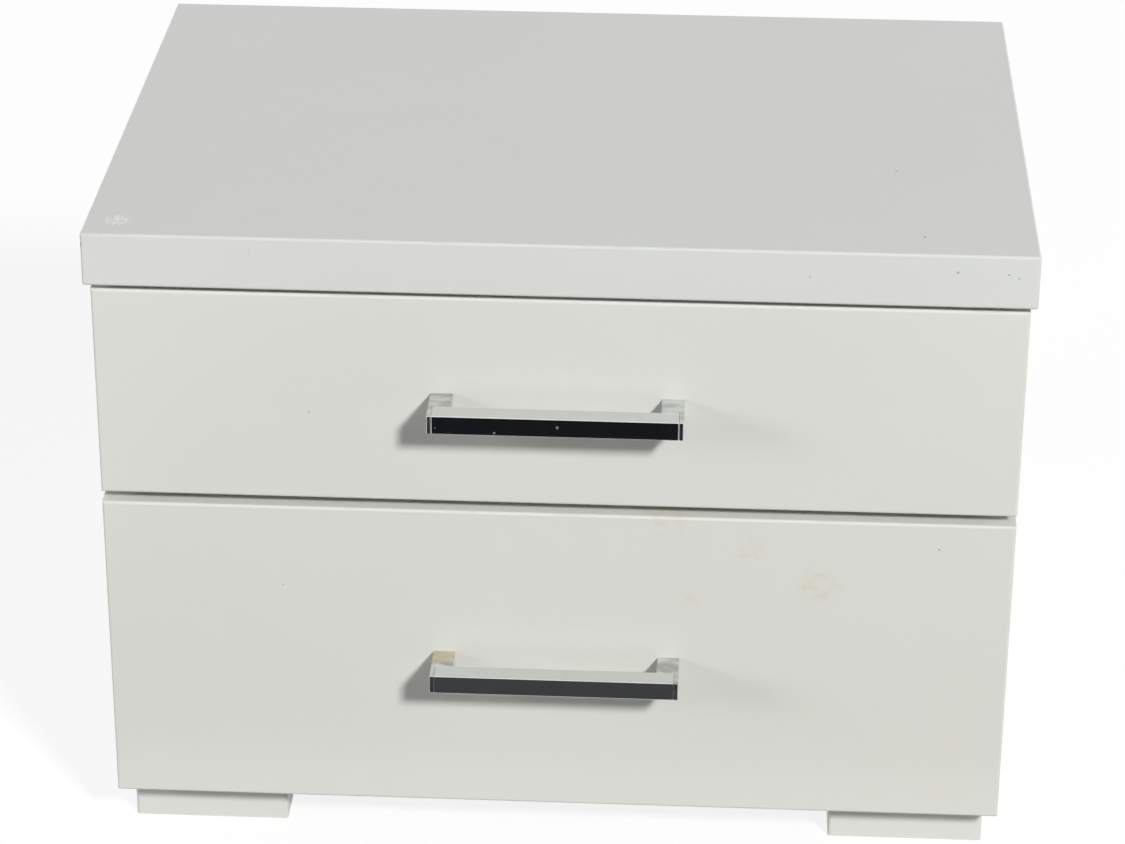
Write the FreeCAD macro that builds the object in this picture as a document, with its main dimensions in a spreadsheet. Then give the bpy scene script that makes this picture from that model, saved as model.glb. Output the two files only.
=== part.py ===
import FreeCAD, Part
import math
import os
import re

import Sketcher

# A side table with two drawers, in millimetres: X runs along its width, Y from front to back, Z up.
# The origin is on the floor, below the middle of the whole object with its handles.

SIZES = {
    # Top board and the case below it
    "top_width": 520,
    "top_depth": 370,
    "top_thickness": 31,
    "side_overhang": 3.5,
    "front_overhang": 4,
    "top_edge_radius": 1.5,
    "case_height": 323,
    "panel_thickness": 16,
    "panel_edge_radius": 0.8,
    "back_thickness": 3,
    "back_inset": 10,
    "back_groove_depth": 6,
    "groove_play": 0.2,
    # Feet
    "foot_width": 90,
    "foot_depth": 60,
    "foot_height": 30,
    "foot_side_inset": 7,
    "foot_setback": 2.5,
    "foot_edge_radius": 2,
    "foot_screw_spacing": 48,
    "foot_screw_floor_gap": 6,
    # Drawer fronts
    "front_thickness": 16,
    "front_edge_radius": 1.5,
    "closing_gap": 1,
    "gap_under_top": 3.5,
    "gap_between_fronts": 6,
    "upper_front_height": 125,
    "front_below_case": 1.5,
    # Drawer boxes
    "box_side_thickness": 12,
    "box_side_below_front": 24,
    "upper_box_rise": 12,
    "box_rear_gap": 37,
    "box_bottom_thickness": 3,
    "box_bottom_rise": 10,
    "box_groove_depth": 5,
    "box_fitting_spacing": 32,
    # Runners and their rollers
    "runner_space": 12.5,
    "runner_gauge": 1.2,
    "runner_setback": 1,
    "runner_overrun": 2,
    "runner_drop": 4.2,
    "lowest_runner_gap": 4,
    "flange_gap": 0.6,
    "lift_play": 1,
    "entry_cutaway": 40,
    "roller_cutaway": 20,
    "roller_radius": 8,
    "roller_play": 0.3,
    "roller_end_inset": 10,
    "roller_side_play": 0.4,
    "roller_far_gap": 1.7,
    "roller_rim_chamfer": 0.6,
    "rivet_radius": 2.5,
    "rivet_head_radius": 4,
    "rivet_head_thickness": 0.9,
    "rivet_play": 0.1,
    "runner_screw_inset": 37,
    # Handles
    "handle_spacing": 128,
    "handle_reach": 29,
    "handle_below_middle": 0.8,
    "handle_bar_height": 11,
    "handle_bar_depth": 12,
    "handle_end_width": 12.5,
    "handle_cap_width": 2.5,
    "handle_edge_radius": 0.5,
    "handle_leg_corner_radius": 1.2,
    "handle_screw_grip": 9,
    # Dowels, cam fittings and screws
    "case_fitting_inset": 80,
    "case_fitting_spacing": 32,
    "case_dowel_radius": 4,
    "box_dowel_radius": 3,
    "dowel_length": 30,
    "dowel_wall": 4,
    "case_bolt_reach": 34,
    "box_bolt_reach": 24,
    "bolt_wall": 5,
    "bolt_thread_radius": 2.5,
    "bolt_shaft_radius": 2,
    "bolt_neck_radius": 1.4,
    "bolt_neck_length": 4,
    "bolt_head_radius": 2.6,
    "bolt_head_length": 4,
    "bolt_hole_radius": 3.2,
    "case_cam_radius": 7.5,
    "box_cam_radius": 6,
    "cam_wall": 2.5,
    "cam_slot_width": 1.2,
    "cam_slot_length": 8,
    "cam_slot_depth": 2,
    "foot_screw_radius": 2,
    "foot_screw_head_radius": 4,
    "runner_screw_radius": 1.75,
    "runner_screw_head_radius": 3.2,
    "screw_wall": 3,
    "handle_screw_radius": 2,
    "handle_screw_head_radius": 4,
    "handle_screw_head_height": 2.6,
    "screw_cross_reach": 1.7,
    "screw_cross_width": 0.9,
    "screw_cross_depth": 1.2,
    "fastener_play": 0.05,
    "hole_end_play": 0.5,
}

# Places and lengths that several pieces share, each as a formula of the sizes above
PLACES = {
    "face_y": "(handle_reach + front_overhang - top_depth) / 2",
    "top_front_y": "face_y - front_overhang",
    "rear_y": "top_front_y + top_depth",
    "case_width": "top_width - 2 * side_overhang",
    "case_front_y": "face_y + front_thickness + closing_gap",
    "case_depth": "rear_y - case_front_y",
    "case_top_z": "foot_height + case_height",
    "floor_board_top_z": "foot_height + panel_thickness",
    "side_face_x": "case_width / 2 - panel_thickness",
    "back_y": "rear_y - back_inset - back_thickness",
    "back_reach": "back_groove_depth - groove_play",
    "box_front_y": "face_y + front_thickness",
    "box_rear_y": "back_y - box_rear_gap",
    "box_length": "box_rear_y - box_front_y",
    "box_half_width": "side_face_x - runner_space",
    "box_inner_half": "box_half_width - box_side_thickness",
    "box_back_y": "box_rear_y - box_side_thickness",
    "box_bottom_reach": "box_groove_depth - groove_play",
    "upper_front_z": "case_top_z - gap_under_top - upper_front_height",
    "lower_front_z": "foot_height - front_below_case",
    "lower_front_height": "upper_front_z - gap_between_fronts - lower_front_z",
    "upper_box_z": "upper_front_z + upper_box_rise",
    "lower_box_z": "floor_board_top_z + lowest_runner_gap + runner_drop",
    "runner_front_y": "case_front_y + runner_setback",
    "runner_rear_y": "box_rear_y + runner_overrun",
    "flange_width": "runner_space - 2 * runner_gauge - flange_gap",
    "flange_underside": "runner_gauge + 2 * roller_play + 2 * roller_radius",
    "channel_height": "flange_underside + 2 * runner_gauge + lift_play",
    "roller_axis_rise": "runner_gauge + roller_play + roller_radius",
    "roller_start": "runner_gauge + roller_side_play",
    "roller_end": "runner_space - runner_gauge - roller_far_gap",
    "handle_half_length": "(handle_spacing + handle_end_width) / 2",
    "handle_end_depth": "handle_reach - handle_bar_depth",
    "foot_x": "case_width / 2 - foot_side_inset - foot_width / 2",
}

DIRECTIONS = {
    "left": FreeCAD.Vector(-1, 0, 0),
    "right": FreeCAD.Vector(1, 0, 0),
    "front": FreeCAD.Vector(0, -1, 0),
    "back": FreeCAD.Vector(0, 1, 0),
    "down": FreeCAD.Vector(0, 0, -1),
    "up": FreeCAD.Vector(0, 0, 1),
}

# How far from a plane an edge may run and still count as lying in it
IN_PLANE = 0.01

doc = FreeCAD.newDocument("SideTable")
sheet = doc.addObject("Spreadsheet::Sheet", "Sizes")
sub_parts = []


def fill_sheet():
    """Write each driving size into the sheet, beside its name."""
    for row, (name, size) in enumerate(SIZES.items(), start=1):
        sheet.set(f"A{row}", name.replace("_", " "))
        sheet.set(f"B{row}", str(size))
        sheet.setAlias(f"B{row}", name)
    doc.recompute()


def formula(words):
    """Rewrite a formula of size and place names so that it reads sheet cells only."""

    def term(match):
        name = match.group()
        return f"({formula(PLACES[name])})" if name in PLACES else f"Sizes.{name}"

    return re.sub(r"[a-z]\w+", term, words)


def bind(item, setting, words):
    """Tie one setting of an object to a formula of the sizes."""
    item.setExpression(setting, formula(words))


def put(item, point, turn=None, setting="Placement"):
    """Place an object at a point of three formulas, turned if asked."""
    placement = FreeCAD.Placement(FreeCAD.Vector(), turn or FreeCAD.Rotation())
    setattr(item, setting, placement)
    for axis, words in zip("xyz", point):
        bind(item, f"{setting}.Base.{axis}", words)


def turn_to(along, up=None):
    """The turn that points an object's X axis along one direction and its Z axis along another."""
    up = up or ("back" if along in ("up", "down") else "up")
    return FreeCAD.Rotation(DIRECTIONS[along], FreeCAD.Vector(), DIRECTIONS[up], "XZY")


def keep(label, item):
    """Name an object as a sub-part of its own."""
    item.Label = label
    sub_parts.append(item)
    return item


# Ways of making a piece


def sketch_on(body, plane, corners):
    """Draw a closed outline of straight lines on one of a body's origin planes."""
    sketch = body.newObject("Sketcher::SketchObject", f"{body.Name}_sketch")
    support = next(p for p in body.Origin.OriginFeatures if p.Role == f"{plane}_Plane")
    sketch.AttachmentSupport = [(support, "")]
    sketch.MapMode = "FlatFace"
    count = len(corners)
    angles = [2 * math.pi * number / count for number in range(count)]
    starts = [FreeCAD.Vector(math.cos(angle), math.sin(angle), 0) for angle in angles]
    for number in range(count):
        line = Part.LineSegment(starts[number], starts[(number + 1) % count])
        sketch.addGeometry(line, False)
    for number, (across, up) in enumerate(corners):
        following = (number + 1) % count
        sketch.addConstraint(Sketcher.Constraint("Coincident", number, 2, following, 1))
        start = starts[number]
        for kind, words, first in (("DistanceX", across, start.x), ("DistanceY", up, start.y)):
            index = sketch.addConstraint(Sketcher.Constraint(kind, -1, 1, number, 1, first))
            bind(sketch, f"Constraints[{index}]", words)
    return sketch


def extruded(name, plane, corners, length, point):
    """A body whose section is drawn on a plane and carried along that plane's positive axis."""
    body = doc.addObject("PartDesign::Body", name)
    pad = body.newObject("PartDesign::Pad", f"{name}_pad")
    pad.Profile = sketch_on(body, plane, corners)
    # The XZ plane faces the front, so a pad that grows towards the back is reversed
    pad.Reversed = plane == "XZ"
    bind(pad, "Length", length)
    put(body, point)
    body.Tip = pad
    return body


def board(name, plane, across, up, thickness, point):
    """A rectangular board, drawn on its face and carried through its thickness."""
    corners = [("0", "0"), (across, "0"), (across, up), ("0", up)]
    return extruded(name, plane, corners, thickness, point)


def turned(name, profile):
    """A round body about its own X axis, from a half profile of (along, radius) corners."""
    body = doc.addObject("PartDesign::Body", name)
    revolution = body.newObject("PartDesign::Revolution", f"{name}_turning")
    sketch = sketch_on(body, "XY", profile)
    revolution.Profile = sketch
    revolution.ReferenceAxis = (sketch, ["H_Axis"])
    revolution.Angle = 360
    body.Tip = revolution
    return body


def rounded(body, radius, picked):
    """Round those edges of a body whose bounding boxes pass a test."""
    doc.recompute()
    base = body.Tip
    edges = enumerate(base.Shape.Edges, start=1)
    names = [f"Edge{number}" for number, edge in edges if picked(edge.BoundBox)]
    fillet = body.newObject("PartDesign::Fillet", f"{base.Name}_rounding")
    fillet.Base = (base, names)
    bind(fillet, "Radius", radius)
    body.Tip = fillet
    return body


def is_upright(box):
    """Whether an edge runs straight up."""
    return box.XLength + box.YLength < IN_PLANE


def rod(name, radius, length):
    """A plain cylinder about Z, from its origin up."""
    cylinder = doc.addObject("Part::Cylinder", name)
    bind(cylinder, "Radius", radius)
    bind(cylinder, "Height", length)
    return cylinder


def block(name, size, point):
    """A plain box, from its low corner."""
    box = doc.addObject("Part::Box", name)
    for setting, words in zip(("Length", "Width", "Height"), size):
        bind(box, setting, words)
    put(box, point)
    return box


def together(name, items):
    """Several solids held as one object."""
    compound = doc.addObject("Part::Compound", name)
    compound.Links = items
    return compound


def without(name, base, tools):
    """A piece after its holes, grooves and recesses are cut."""
    cut = doc.addObject("Part::Cut", name)
    cut.Base = base
    cut.Tool = together(f"{name}_cutters", tools)
    return cut


def mirrored(name, source):
    """The same piece or group of pieces on the other side of the table's middle plane."""
    mirror = doc.addObject("Part::Mirroring", name)
    mirror.Source = source
    mirror.Normal = DIRECTIONS["right"]
    return mirror


def copies(name, pattern, stations):
    """Copies of a pattern piece at each station: a point, where X points, and where Z points."""
    links = []
    for number, (point, *pointing) in enumerate(stations, start=1):
        link = doc.addObject("App::Link", f"{name}_{number}")
        link.LinkedObject = pattern
        put(link, point, turn_to(*pointing), "LinkPlacement")
        links.append(link)
    return together(name, links)


def on_both_sides(name, pattern, stations):
    """Copies at each station and at its mirror image."""
    left = copies(f"{name}_left", pattern, stations)
    return together(name, [left, mirrored(f"{name}_right", left)])


# Pattern pieces that are used many times, each with the cutter for its hole


def dowel(name, radius, seat, play="0"):
    """A dowel whose origin is where two boards meet; its seat is how deep it sits behind."""
    end_play = "hole_end_play" if play != "0" else "0"
    low = f"-({seat}) - {end_play}"
    high = f"dowel_length - ({seat}) + {end_play}"
    wide = f"{radius} + {play}"
    return turned(name, [(low, "0"), (high, "0"), (high, wide), (low, wide)])


def cam_bolt(name, thread_length, reach):
    """A bolt that screws into one board and holds the other by its head, at its reach."""
    head_start = f"{reach} - bolt_head_length / 2"
    head_end = f"{reach} + bolt_head_length / 2"
    neck_start = f"{head_start} - bolt_neck_length"
    return turned(name, [
        (f"-({thread_length})", "0"),
        (head_end, "0"),
        (head_end, "bolt_head_radius"),
        (head_start, "bolt_head_radius"),
        (head_start, "bolt_neck_radius"),
        (neck_start, "bolt_neck_radius"),
        (neck_start, "bolt_shaft_radius"),
        ("0", "bolt_shaft_radius"),
        ("0", "bolt_thread_radius"),
        (f"-({thread_length})", "bolt_thread_radius"),
    ])


def cam_bolt_hole(name, thread_length, reach):
    """The threaded hole in one board and the wide hole in the other, as one cutter."""
    low = f"-({thread_length}) - hole_end_play"
    thread_hole = "bolt_thread_radius + fastener_play"
    return turned(name, [
        (low, "0"),
        (reach, "0"),
        (reach, "bolt_hole_radius"),
        ("0", "bolt_hole_radius"),
        ("0", thread_hole),
        (low, thread_hole),
    ])


def cam_disc(name, radius, board_thickness):
    """A cam about Z below its slotted face, open towards X where the bolt's head comes in."""
    height = f"({board_thickness} - cam_wall)"
    disc = rod(f"{name}_blank", radius, height)
    put(disc, ("0", "0", f"-{height}"))
    mouth = rod(f"{name}_mouth", "bolt_hole_radius - fastener_play", f"2 * {radius}")
    behind_head = "bolt_head_length / 2 + hole_end_play"
    middle = f"-({board_thickness}) / 2"
    put(mouth, (f"-({behind_head})", "0", middle), turn_to("up", "right"))
    slot_size = ("cam_slot_length", "cam_slot_width", "cam_slot_depth")
    slot_point = ("-cam_slot_length / 2", "-cam_slot_width / 2", "-cam_slot_depth")
    return without(name, disc, [mouth, block(f"{name}_slot", slot_size, slot_point)])


def cam_bore(name, radius, board_thickness):
    """The blind bore that a cam sits in."""
    depth = f"({board_thickness} - cam_wall + fastener_play)"
    bore = rod(name, f"{radius} + fastener_play", depth)
    put(bore, ("0", "0", f"-{depth}"))
    return together(f"{name}_cutter", [bore])


def countersunk_screw(name, radius, head_radius, length, play="0"):
    """A screw whose flat head face is at its origin and whose shank runs along X."""
    head_end = f"{head_radius} - {radius}"
    end = f"{length} + hole_end_play" if play != "0" else length
    return turned(name, [
        ("0", "0"),
        (end, "0"),
        (end, f"{radius} + {play}"),
        (head_end, f"{radius} + {play}"),
        ("0", f"{head_radius} + {play}"),
    ])


def pan_screw(name, length):
    """A handle screw whose head sits behind its origin and whose shank runs along X."""
    return turned(name, [
        ("-handle_screw_head_height", "0"),
        (length, "0"),
        (length, "handle_screw_radius"),
        ("0", "handle_screw_radius"),
        ("0", "handle_screw_head_radius"),
        ("-handle_screw_head_height", "handle_screw_head_radius"),
    ])


def with_cross(name, blank, face):
    """A screw with the cross for its driver cut into its head, whose face is at this place."""
    wide, narrow = "2 * screw_cross_reach", "screw_cross_width"
    low, side = "-screw_cross_reach", "-screw_cross_width / 2"
    flat = block(f"{name}_flat_slot", ("screw_cross_depth", wide, narrow), (face, low, side))
    upright = block(f"{name}_upright_slot", ("screw_cross_depth", narrow, wide), (face, side, low))
    return without(name, blank, [flat, upright])


def plain_hole(name, radius, length):
    """A round hole for a shank of this radius, from its origin along X."""
    end = f"{length} + hole_end_play"
    wide = f"{radius} + fastener_play"
    return turned(name, [("0", "0"), (end, "0"), (end, wide), ("0", wide)])


def rivet(name):
    """A rivet set in a runner's web, with its head in the roller's recess."""
    head_start = "roller_end - rivet_head_thickness"
    return turned(name, [
        ("0", "0"),
        ("roller_end", "0"),
        ("roller_end", "rivet_head_radius"),
        (head_start, "rivet_head_radius"),
        (head_start, "rivet_radius"),
        ("0", "rivet_radius"),
    ])


def roller(name, point, along):
    """A nylon roller, on a rivet that starts at the point and runs along a direction."""
    bore = "rivet_radius + fastener_play"
    recess = "rivet_head_radius + rivet_play"
    recess_floor = "roller_end - rivet_head_thickness - rivet_play"
    body = turned(name, [
        ("roller_start", bore),
        ("roller_start", "roller_radius - roller_rim_chamfer"),
        ("roller_start + roller_rim_chamfer", "roller_radius"),
        ("roller_end - roller_rim_chamfer", "roller_radius"),
        ("roller_end", "roller_radius - roller_rim_chamfer"),
        ("roller_end", recess),
        (recess_floor, recess),
        (recess_floor, bore),
    ])
    put(body, point, turn_to(along))
    return keep(name, body)


# The case: top, sides, bottom, back and feet


def case_fitting_stations():
    """Where the left side meets the top and the bottom board: dowels, bolts and cams."""
    middle_x = "-(side_face_x + panel_thickness / 2)"
    middle_z = "foot_height + panel_thickness / 2"
    bolts = []
    cams = []
    dowels = []
    outward = "case_fitting_inset - case_fitting_spacing"
    for cam_y, dowel_y in (
        ("case_front_y + case_fitting_inset", f"case_front_y + {outward}"),
        ("rear_y - case_fitting_inset", f"rear_y - ({outward})"),
    ):
        bolts.append(((middle_x, cam_y, "case_top_z"), "down"))
        bolts.append((("-side_face_x", cam_y, middle_z), "right"))
        cams.append((("-side_face_x", cam_y, "case_top_z - case_bolt_reach"), "up", "right"))
        cams.append((("case_bolt_reach - side_face_x", cam_y, "foot_height"), "left", "down"))
        dowels.append(((middle_x, dowel_y, "case_top_z"), "down"))
        dowels.append((("-side_face_x", dowel_y, middle_z), "right"))
    return dowels, bolts, cams


def foot_corners():
    """The low corner of each left foot."""
    left_x = "-(foot_x + foot_width / 2)"
    return {
        "front": (left_x, "case_front_y + foot_setback", "0"),
        "rear": (left_x, "rear_y - foot_setback - foot_depth", "0"),
    }


def foot_screw_stations():
    """Two screws for each left foot, from inside the case down."""
    stations = []
    for _, corner_y, _ in foot_corners().values():
        for sign in "-+":
            x = f"-foot_x {sign} foot_screw_spacing / 2"
            stations.append(((x, f"{corner_y} + foot_depth / 2", "floor_board_top_z"), "down"))
    return stations


def case(runner_screw_holes):
    """The fixed boards, the feet and what holds them together."""
    dowels, bolts, cams = case_fitting_stations()
    seat = "(panel_thickness - dowel_wall)"
    thread = "(panel_thickness - bolt_wall)"
    dowel_pattern = dowel("case_dowel", "case_dowel_radius", seat)
    bolt_pattern = cam_bolt("case_bolt", thread, "case_bolt_reach")
    cam_pattern = cam_disc("case_cam", "case_cam_radius", "panel_thickness")
    screw_length = "panel_thickness + foot_height - foot_screw_floor_gap"
    screw_sizes = ("foot_screw_radius", "foot_screw_head_radius", screw_length)
    screw_blank = countersunk_screw("foot_screw_blank", *screw_sizes)
    screw_pattern = with_cross("foot_screw", screw_blank, "0")
    keep("case_dowels", on_both_sides("case_dowels", dowel_pattern, dowels))
    keep("case_cam_bolts", on_both_sides("case_cam_bolts", bolt_pattern, bolts))
    keep("case_cam_discs", on_both_sides("case_cam_discs", cam_pattern, cams))
    keep("foot_screws", on_both_sides("foot_screws", screw_pattern, foot_screw_stations()))

    dowel_hole = dowel("case_dowel_hole", "case_dowel_radius", seat, "fastener_play")
    bolt_hole = cam_bolt_hole("case_bolt_hole", thread, "case_bolt_reach")
    cam_hole = cam_bore("case_cam_bore", "case_cam_radius", "panel_thickness")
    screw_hole = countersunk_screw("foot_screw_hole", *screw_sizes, "fastener_play")
    groove_size = (
        "2 * (side_face_x + back_groove_depth)",
        "back_thickness + groove_play",
        "case_top_z - floor_board_top_z + 2 * back_groove_depth",
    )
    groove_point = (
        "-(side_face_x + back_groove_depth)",
        "back_y - groove_play / 2",
        "floor_board_top_z - back_groove_depth",
    )
    groove = block("back_groove", groove_size, groove_point)
    joints = [
        on_both_sides("case_dowel_holes", dowel_hole, dowels),
        on_both_sides("case_bolt_holes", bolt_hole, bolts),
        on_both_sides("case_cam_bores", cam_hole, cams),
        groove,
    ]
    foot_holes = on_both_sides("foot_screw_holes", screw_hole, foot_screw_stations())

    top_point = ("-top_width / 2", "top_front_y", "case_top_z")
    top = board("top_board", "XY", "top_width", "top_depth", "top_thickness", top_point)
    rounded(top, "top_edge_radius", lambda box: True)
    keep("top_panel", without("top_panel", top, joints))

    side_point = ("-case_width / 2", "case_front_y", "foot_height")
    side = board("side_board", "YZ", "case_depth", "case_height", "panel_thickness", side_point)
    rounded(side, "panel_edge_radius", lambda box: box.XMax < IN_PLANE)
    left_side = without("side_panel_left", side, joints + [runner_screw_holes])
    keep("side_panel_left", left_side)
    keep("side_panel_right", mirrored("side_panel_right", left_side))

    floor_point = ("-side_face_x", "case_front_y", "foot_height")
    floor_size = ("2 * side_face_x", "case_depth", "panel_thickness")
    floor = board("floor_board", "XY", *floor_size, floor_point)
    keep("bottom_panel", without("bottom_panel", floor, joints + [foot_holes]))

    back_width = "2 * (side_face_x + back_reach)"
    back_height = "case_top_z - floor_board_top_z + 2 * back_reach"
    back_point = ("-(side_face_x + back_reach)", "back_y", "floor_board_top_z - back_reach")
    back_size = (back_width, back_height, "back_thickness")
    keep("back_panel", board("back_panel", "XZ", *back_size, back_point))

    for place, corner in foot_corners().items():
        foot = board(f"foot_{place}", "XY", "foot_width", "foot_depth", "foot_height", corner)
        rounded(foot, "foot_edge_radius", is_upright)
        left_foot = without(f"foot_{place}_left", foot, [foot_holes])
        keep(f"foot_{place}_left", left_foot)
        keep(f"foot_{place}_right", mirrored(f"foot_{place}_right", left_foot))


# The runners on the case


def cabinet_runner_stations(box_z):
    """Where a left runner on the case has its screws and its rivet."""
    screw_z = f"({box_z}) - runner_drop + channel_height / 2"
    axis_z = f"({box_z}) - runner_drop + roller_axis_rise"
    web_x = "runner_gauge - side_face_x"
    screws = [
        ((web_x, "runner_front_y + runner_screw_inset", screw_z), "left"),
        ((web_x, "runner_rear_y - runner_screw_inset", screw_z), "left"),
    ]
    rivets = [(("-side_face_x", "runner_front_y + roller_end_inset", axis_z), "right")]
    return screws, rivets


def cabinet_runner(name, box_z, holes):
    """A pair of channels on the case sides, open towards the drawer, each with a front roller."""
    low = f"({box_z}) - runner_drop"
    reach = "runner_gauge + flange_width"
    section = [
        ("0", "0"),
        (reach, "0"),
        (reach, "runner_gauge"),
        ("runner_gauge", "runner_gauge"),
        ("runner_gauge", "channel_height - runner_gauge"),
        (reach, "channel_height - runner_gauge"),
        (reach, "channel_height"),
        ("0", "channel_height"),
    ]
    point = ("-side_face_x", "runner_front_y", low)
    length = "runner_rear_y - runner_front_y"
    channel = extruded(f"{name}_channel", "XZ", section, length, point)
    # The upper flange is cut away where the drawer is lifted in, the lower one below the roller
    entry = block(
        f"{name}_entry",
        ("flange_width", "entry_cutaway", "runner_gauge"),
        ("runner_gauge - side_face_x", "runner_front_y", f"{low} + channel_height - runner_gauge"),
    )
    relief = block(
        f"{name}_relief",
        ("flange_width", "roller_cutaway", "runner_gauge"),
        ("runner_gauge - side_face_x", "runner_front_y", low),
    )
    left = without(f"{name}_cabinet_runner_left", channel, [entry, relief] + holes)
    keep(f"{name}_cabinet_runner_left", left)
    right_name = f"{name}_cabinet_runner_right"
    keep(right_name, mirrored(right_name, left))
    _, rivets = cabinet_runner_stations(box_z)
    left_roller = roller(f"{name}_front_roller_left", *rivets[0])
    right_roller_name = f"{name}_front_roller_right"
    keep(right_roller_name, mirrored(right_roller_name, left_roller))


def cabinet_runners(screw_pattern, screw_hole, rivet_pattern, rivet_hole):
    """Both pairs of runners on the case, with their screws and rivets."""
    upper_screws, upper_rivets = cabinet_runner_stations("upper_box_z")
    lower_screws, lower_rivets = cabinet_runner_stations("lower_box_z")
    screws = upper_screws + lower_screws
    rivets = upper_rivets + lower_rivets
    screw_holes = copies("cabinet_screw_holes", screw_hole, screws)
    rivet_holes = copies("cabinet_rivet_holes", rivet_hole, rivets)
    name = "cabinet_runner_screws"
    keep(name, on_both_sides(name, screw_pattern, screws))
    name = "cabinet_roller_rivets"
    keep(name, on_both_sides(name, rivet_pattern, rivets))
    cabinet_runner("upper", "upper_box_z", [screw_holes, rivet_holes])
    cabinet_runner("lower", "lower_box_z", [screw_holes, rivet_holes])
    return screw_holes


# The drawers


def drawer_runner(name, box_z, screw_pattern, screw_hole, rivet_pattern, rivet_hole):
    """A pair of runners below the drawer's sides, each with a roller at its rear."""
    flange_top = "flange_underside + runner_gauge - runner_drop"
    web_x = "-runner_gauge"
    section = [
        (web_x, web_x),
        ("box_side_thickness", web_x),
        ("box_side_thickness", "0"),
        ("0", "0"),
        ("0", flange_top),
        ("-runner_gauge - flange_width", flange_top),
        ("-runner_gauge - flange_width", f"{flange_top} - runner_gauge"),
        (web_x, f"{flange_top} - runner_gauge"),
    ]
    point = ("-box_half_width", "box_front_y", box_z)
    profile = extruded(f"{name}_runner_profile", "XZ", section, "box_length", point)
    web_middle = f"{box_z} + ({flange_top} - runner_gauge) / 2"
    screw_x = "-box_half_width - runner_gauge"
    screws = [
        ((screw_x, "box_front_y + runner_screw_inset", web_middle), "right"),
        ((screw_x, "box_rear_y - runner_screw_inset", web_middle), "right"),
    ]
    axis_z = f"{box_z} - runner_drop + roller_axis_rise"
    rivets = [(("-box_half_width", "box_rear_y - roller_end_inset", axis_z), "left")]
    screw_holes = copies(f"{name}_runner_screw_holes", screw_hole, screws)
    rivet_holes = copies(f"{name}_rivet_holes", rivet_hole, rivets)
    left = without(f"{name}_drawer_runner_left", profile, [screw_holes, rivet_holes])
    keep(f"{name}_drawer_runner_left", left)
    right_name = f"{name}_drawer_runner_right"
    keep(right_name, mirrored(right_name, left))
    screws_name = f"{name}_drawer_runner_screws"
    keep(screws_name, on_both_sides(screws_name, screw_pattern, screws))
    rivets_name = f"{name}_drawer_roller_rivets"
    keep(rivets_name, on_both_sides(rivets_name, rivet_pattern, rivets))
    left_roller = roller(f"{name}_rear_roller_left", *rivets[0])
    right_roller_name = f"{name}_rear_roller_right"
    keep(right_roller_name, mirrored(right_roller_name, left_roller))
    return screw_holes


def is_leg_corner(box):
    """Whether an edge is the leg's inner corner, beside the bar."""
    at_leg_side = abs(box.XMin - SIZES["handle_end_width"]) < IN_PLANE
    return is_upright(box) and at_leg_side and box.YMin < -IN_PLANE


def is_handle_end_arris(box):
    """Whether an edge of an end piece is rounded: all but those at the front and the bar's seat."""
    seat_y = SIZES["handle_bar_depth"] - SIZES["handle_reach"]
    at_cap_side = abs(box.XMin - SIZES["handle_cap_width"]) < IN_PLANE
    in_seat_corner = is_upright(box) and at_cap_side and abs(box.YMin - seat_y) < IN_PLANE
    round_corner = is_upright(box) and box.XMin > SIZES["handle_cap_width"] + IN_PLANE
    return box.YMin < -IN_PLANE and not in_seat_corner and not round_corner


def handle(name, middle_z, screw_hole):
    """A bar between two end pieces, each with a leg back to the front and a cap beside the bar."""
    low = f"{middle_z} - handle_bar_height / 2"
    section = [
        ("0", "0"),
        ("0", "-handle_reach"),
        ("handle_cap_width", "-handle_reach"),
        ("handle_cap_width", "-handle_end_depth"),
        ("handle_end_width", "-handle_end_depth"),
        ("handle_end_width", "0"),
    ]
    end_point = ("-handle_half_length", "face_y", low)
    end = extruded(f"{name}_handle_end", "XY", section, "handle_bar_height", end_point)
    rounded(end, "handle_leg_corner_radius", is_leg_corner)
    rounded(end, "handle_edge_radius", is_handle_end_arris)
    left = without(f"{name}_handle_end_left", end, [screw_hole])
    keep(f"{name}_handle_end_left", left)
    right_name = f"{name}_handle_end_right"
    keep(right_name, mirrored(right_name, left))
    bar_name = f"{name}_handle_bar"
    bar_length = "2 * (handle_half_length - handle_cap_width)"
    bar_point = ("handle_cap_width - handle_half_length", "face_y - handle_reach", low)
    bar = board(bar_name, "XZ", bar_length, "handle_bar_height", "handle_bar_depth", bar_point)
    rounded(bar, "handle_edge_radius", lambda box: True)
    keep(bar_name, bar)


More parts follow.
